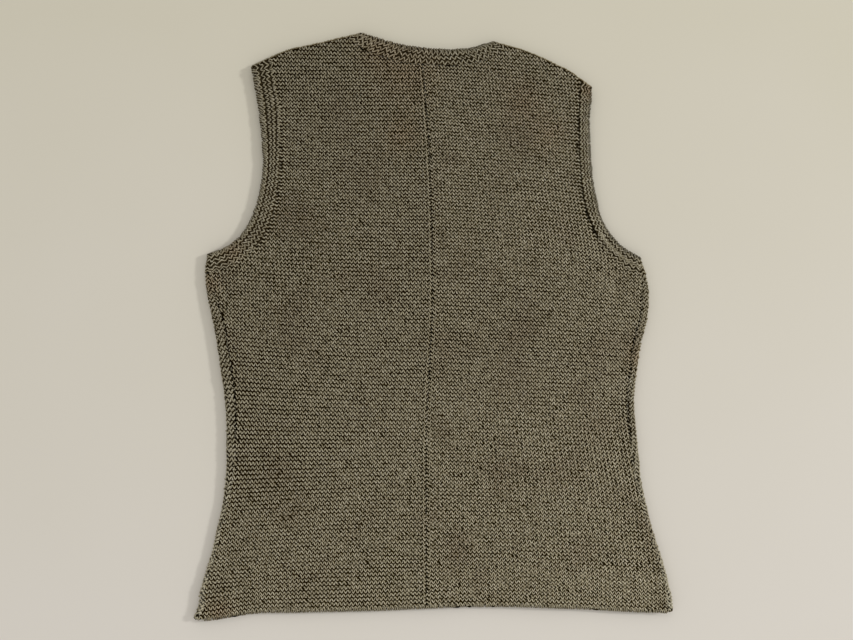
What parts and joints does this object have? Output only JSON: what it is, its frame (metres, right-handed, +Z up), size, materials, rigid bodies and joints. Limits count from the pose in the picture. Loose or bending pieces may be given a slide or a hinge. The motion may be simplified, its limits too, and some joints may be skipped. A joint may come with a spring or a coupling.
{
  "type": "knitted sweater vest",
  "caption": "Sleeveless garter-knit vest laid flat on its front, back uppermost, with a middle back seam, shaped waist and ribbed armhole and neck bands.",
  "frame": {"origin": "on the surface the vest lies on, under the middle of its outline", "axes": "+X to the right seen from above, +Y from the hem towards the neck, +Z up through the layers; the front is below and the back above"},
  "size_m": [0.4998, 0.629, 0.0108],
  "materials": {
    "back_left": "heathered olive-taupe garter knit",
    "back_right": "heathered olive-taupe garter knit",
    "front": "heathered olive-taupe garter knit",
    "armhole_band_back_left": "heathered olive-taupe knitted band",
    "armhole_band_back_right": "heathered olive-taupe knitted band",
    "armhole_band_front_left": "heathered olive-taupe knitted band",
    "armhole_band_front_right": "heathered olive-taupe knitted band",
    "neck_band_back": "heathered olive-taupe knitted band",
    "neck_band_front": "heathered olive-taupe knitted band"
  },
  "bodies": {
    "root": {"back_left": "back_left", "back_right": "back_right", "front": "front", "armhole_band_back_left": "armhole_band_back_left", "armhole_band_back_right": "armhole_band_back_right", "armhole_band_front_left": "armhole_band_front_left", "armhole_band_front_right": "armhole_band_front_right", "neck_band_back": "neck_band_back", "neck_band_front": "neck_band_front"}
  },
  "joints": []
}
